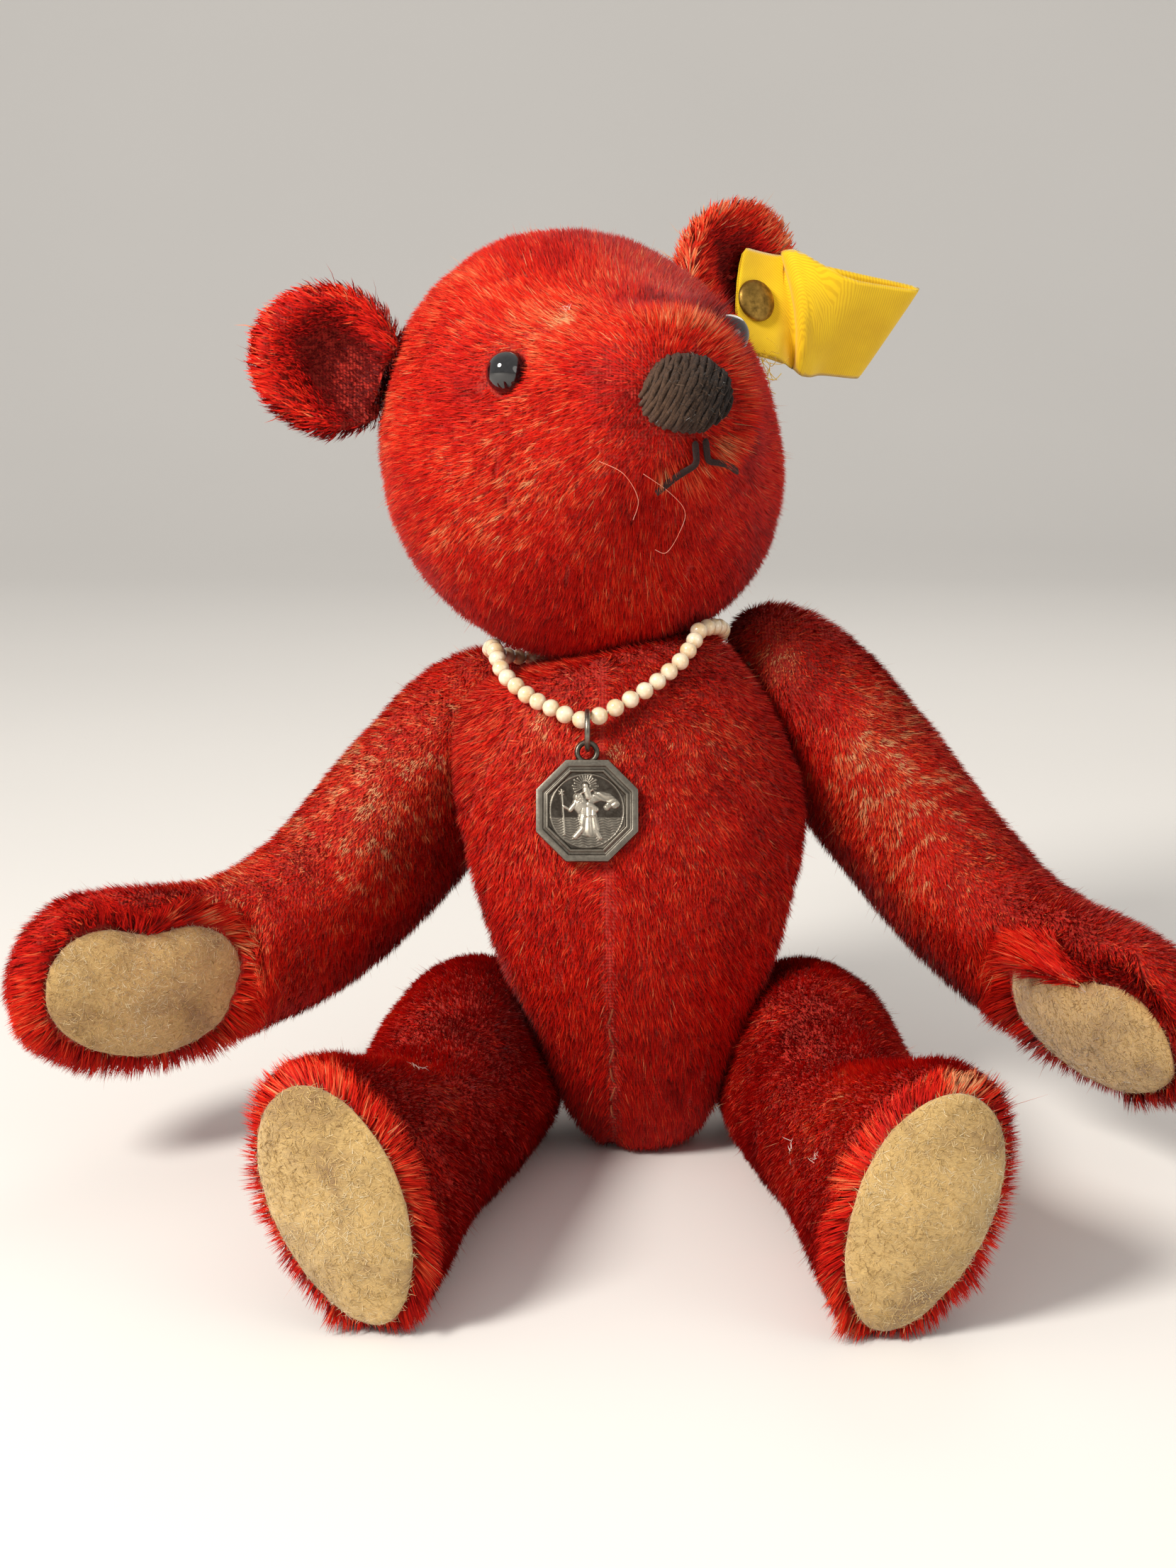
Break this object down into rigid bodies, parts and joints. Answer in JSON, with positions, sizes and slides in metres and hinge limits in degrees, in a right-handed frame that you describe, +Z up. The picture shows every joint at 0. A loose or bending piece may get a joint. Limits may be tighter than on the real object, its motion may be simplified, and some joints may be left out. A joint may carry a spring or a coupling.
{
  "type": "teddy bear",
  "caption": "Worn red disc-jointed mohair bear, seated, with felt pads, a pearl necklace with a medal, and a folded ribbon pinned in one ear; head, arms and legs turn.",
  "frame": {"origin": "on the floor plane under the seat, on the flat the torso rests on", "axes": "-Y is where the bear's body faces, +X is towards the bear's own left side, +Z is up"},
  "size_m": [0.1939, 0.148, 0.1589],
  "materials": {
    "red_mohair": "short red mohair pile, worn to the weave in rows",
    "beige_wool_felt": "matt brushed wool felt, slightly soiled",
    "hardboard": "pressed brown board",
    "zinc_plated_steel": "zinc plated",
    "oxidised_silver": "silver plate on brass, oxidised dark in the recesses",
    "black_glass": "opaque black, glossy",
    "brown_wool": "laid wool stitches, fuzzy",
    "dark_thread": "twisted thread",
    "cream_pearl": "pearl lustre",
    "yellow_ribbon": "woven ribbon, slight sheen",
    "dull_brass": "dull, slightly tarnished"
  },
  "bodies": {
    "torso": {"hip_left_body_disc": "hardboard", "hip_left_body_washer": "zinc_plated_steel", "hip_left_cotter_pin": "zinc_plated_steel", "hip_right_body_disc": "hardboard", "hip_right_body_washer": "zinc_plated_steel", "hip_right_cotter_pin": "zinc_plated_steel", "neck_body_disc": "hardboard", "neck_body_washer": "zinc_plated_steel", "neck_cotter_pin": "zinc_plated_steel", "pearl_string": "cream_pearl", "shoulder_left_body_disc": "hardboard", "shoulder_left_body_washer": "zinc_plated_steel", "shoulder_left_cotter_pin": "zinc_plated_steel", "shoulder_right_body_disc": "hardboard", "shoulder_right_body_washer": "zinc_plated_steel", "shoulder_right_cotter_pin": "zinc_plated_steel", "torso": "red_mohair"},
    "head": {"ear_button": "dull_brass", "ear_left": "red_mohair", "ear_ribbon": "yellow_ribbon", "ear_right": "red_mohair", "eye_left": "black_glass", "eye_right": "black_glass", "head": "red_mohair", "mouth_stitch_left": "dark_thread", "mouth_stitch_right": "dark_thread", "neck_limb_disc": "hardboard", "neck_limb_washer": "zinc_plated_steel", "nose_stitching": "brown_wool"},
    "arm_right": {"arm_right": "red_mohair", "paw_pad_right": "beige_wool_felt", "shoulder_right_limb_disc": "hardboard", "shoulder_right_limb_washer": "zinc_plated_steel"},
    "arm_left": {"arm_left": "red_mohair", "paw_pad_left": "beige_wool_felt", "shoulder_left_limb_disc": "hardboard", "shoulder_left_limb_washer": "zinc_plated_steel"},
    "leg_right": {"hip_right_limb_disc": "hardboard", "hip_right_limb_washer": "zinc_plated_steel", "leg_right": "red_mohair", "sole_pad_right": "beige_wool_felt"},
    "leg_left": {"hip_left_limb_disc": "hardboard", "hip_left_limb_washer": "zinc_plated_steel", "leg_left": "red_mohair", "sole_pad_left": "beige_wool_felt"},
    "pendant": {"jump_ring": "oxidised_silver", "medal": "oxidised_silver"}
  },
  "joints": [
    {"name": "neck_turn", "type": "hinge", "parent": "torso", "child": "head", "pos_m": [0.00133, 0.02039, 0.08357], "axis": [-0.2557, 0.0833, 0.9632], "continuous": true},
    {"name": "shoulder_right_turn", "type": "hinge", "parent": "torso", "child": "arm_right", "pos_m": [-0.01851, 0.03282, 0.06642], "axis": [-0.6706, 0.7407, 0.04], "range_deg": [-120, 45]},
    {"name": "shoulder_left_turn", "type": "hinge", "parent": "torso", "child": "arm_left", "pos_m": [0.01991, 0.02517, 0.07188], "axis": [0.8131, 0.4216, 0.4015], "range_deg": [-70, 115]},
    {"name": "hip_right_turn", "type": "hinge", "parent": "torso", "child": "leg_right", "pos_m": [-0.0137, 0.005, 0.0192], "axis": [-0.9178, 0.1696, -0.3591], "range_deg": [-90, 60]},
    {"name": "hip_left_turn", "type": "hinge", "parent": "torso", "child": "leg_left", "pos_m": [0.0173, 0.005, 0.0192], "axis": [0.9279, 0.0998, -0.3592], "range_deg": [-45, 90]},
    {"name": "pendant_swing", "type": "hinge", "parent": "torso", "child": "pendant", "pos_m": [-0.00731, -0.00967, 0.07462], "axis": [-1, 0, 0], "range_deg": [0, 75]}
  ]
}
